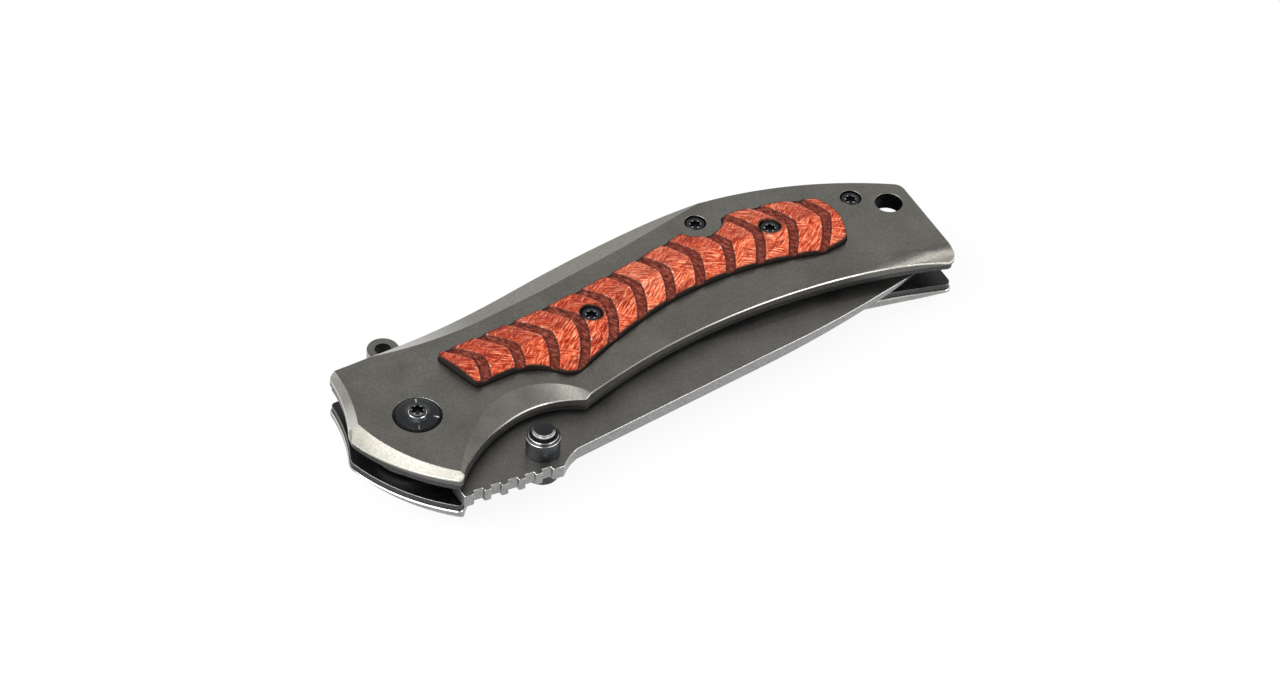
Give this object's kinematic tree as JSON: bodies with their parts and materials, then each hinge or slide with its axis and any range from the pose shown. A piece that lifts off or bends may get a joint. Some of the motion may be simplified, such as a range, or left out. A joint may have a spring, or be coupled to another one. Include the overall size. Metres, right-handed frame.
{
  "type": "folding pocket knife",
  "caption": "Folding pocket knife, lying closed: grey metal handle with carved wood inlay, liner lock, pocket clip and lanyard hole; the blade swings out about a pivot under a round black disc.",
  "frame": {"origin": "on the axis of the lanyard hole, at the middle of the handle's thickness", "axes": "+X along the handle towards the butt, +Y towards the handle's spine, +Z out of the show side; the clip side is down"},
  "size_m": [0.1245, 0.0447, 0.016],
  "materials": {
    "satin_grey": "satin warm grey, blasted",
    "liner_steel": "dark satin",
    "blade_steel": "satin warm grey",
    "bright_steel": "ground",
    "black_hardware": "black oxide",
    "bronze": "polished",
    "inlay_wood": "oiled red-brown hardwood"
  },
  "bodies": {
    "handle": {"front_scale": "satin_grey", "rear_scale": "satin_grey", "front_liner": "liner_steel", "rear_liner": "liner_steel", "front_inlay": "inlay_wood", "rear_inlay": "inlay_wood", "front_inlay_screws": "black_hardware", "rear_inlay_screws": "black_hardware", "front_body_screws": "black_hardware", "rear_body_screws": "black_hardware", "standoffs": "black_hardware", "stop_pin": "bright_steel", "pivot_barrel": "bright_steel", "pivot_collar": "black_hardware", "pivot_screw": "black_hardware", "rear_pivot_screw": "black_hardware", "front_washer": "bronze", "rear_washer": "bronze", "pocket_clip": "blade_steel", "clip_screws": "black_hardware"},
    "blade": {"blade": "blade_steel", "front_thumb_stud": "black_hardware", "rear_thumb_stud": "black_hardware"},
    "lock_bar": {"lock_bar": "liner_steel", "detent_ball": "bright_steel"}
  },
  "joints": [
    {"name": "blade_pivot", "type": "hinge", "parent": "handle", "child": "blade", "pos_m": [-0.107, -0.00659, 0], "axis": [0, 0, -1], "range_deg": [0, 180]},
    {"name": "lock_bar_flex", "type": "hinge", "parent": "handle", "child": "lock_bar", "pos_m": [-0.049, -0.01059, -0.0026], "axis": [0, -1, 0], "range_deg": [0, 0.5], "stiffness_Nm_per_rad": 0.2, "springref_deg": -0.46}
  ]
}
